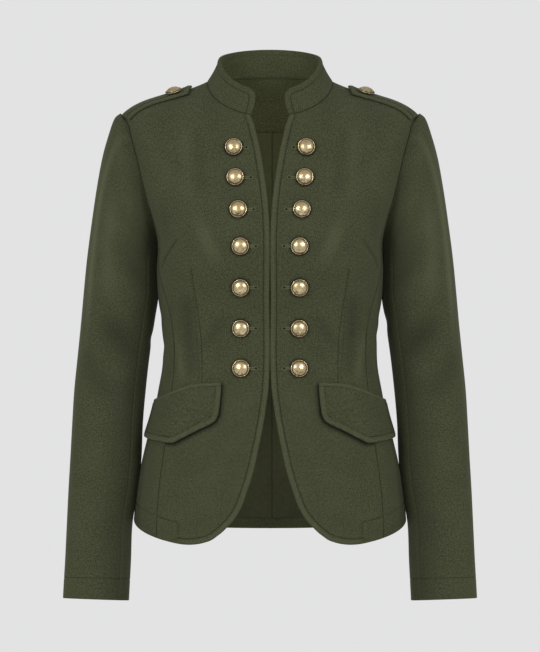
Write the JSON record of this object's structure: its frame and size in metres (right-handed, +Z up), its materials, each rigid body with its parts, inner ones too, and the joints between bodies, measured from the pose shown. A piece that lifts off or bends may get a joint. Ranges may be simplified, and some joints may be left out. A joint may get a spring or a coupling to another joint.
{
  "type": "military-style blazer",
  "caption": "Fitted olive blazer, filled out as if worn: stand collar, two button columns, shoulder straps, slanted pocket flaps and a rounded cutaway front hem.",
  "frame": {"origin": "middle of the neck, on the centre plane and level with the inner ends of the shoulder seams, where the wearer's neck and shoulders hold the garment", "axes": "+Z up, +Y towards the wearer's back so the front faces -Y, +X towards the wearer's left"},
  "size_m": [0.5188, 0.257, 0.7043],
  "materials": {
    "olive_cloth": "matte olive-green wool-like cloth",
    "lining_cloth": "dull dark olive lining",
    "antique_brass": "antique brass"
  },
  "bodies": {
    "root": {"back_facing": "olive_cloth", "back_left": "olive_cloth", "back_lining": "lining_cloth", "back_right": "olive_cloth", "button_left_1": "antique_brass", "button_left_2": "antique_brass", "button_left_3": "antique_brass", "button_left_4": "antique_brass", "button_left_5": "antique_brass", "button_left_6": "antique_brass", "button_left_7": "antique_brass", "button_right_1": "antique_brass", "button_right_2": "antique_brass", "button_right_3": "antique_brass", "button_right_4": "antique_brass", "button_right_5": "antique_brass", "button_right_6": "antique_brass", "button_right_7": "antique_brass", "collar": "olive_cloth", "epaulette_button_left": "antique_brass", "epaulette_button_right": "antique_brass", "epaulette_left": "olive_cloth", "epaulette_right": "olive_cloth", "front_left": "olive_cloth", "front_right": "olive_cloth", "pocket_flap_left": "olive_cloth", "pocket_flap_right": "olive_cloth", "pocket_welt_left": "olive_cloth", "pocket_welt_right": "olive_cloth", "side_left": "olive_cloth", "side_right": "olive_cloth", "sleeve_top_left": "olive_cloth", "sleeve_top_right": "olive_cloth", "sleeve_under_left": "olive_cloth", "sleeve_under_right": "olive_cloth"}
  },
  "joints": []
}
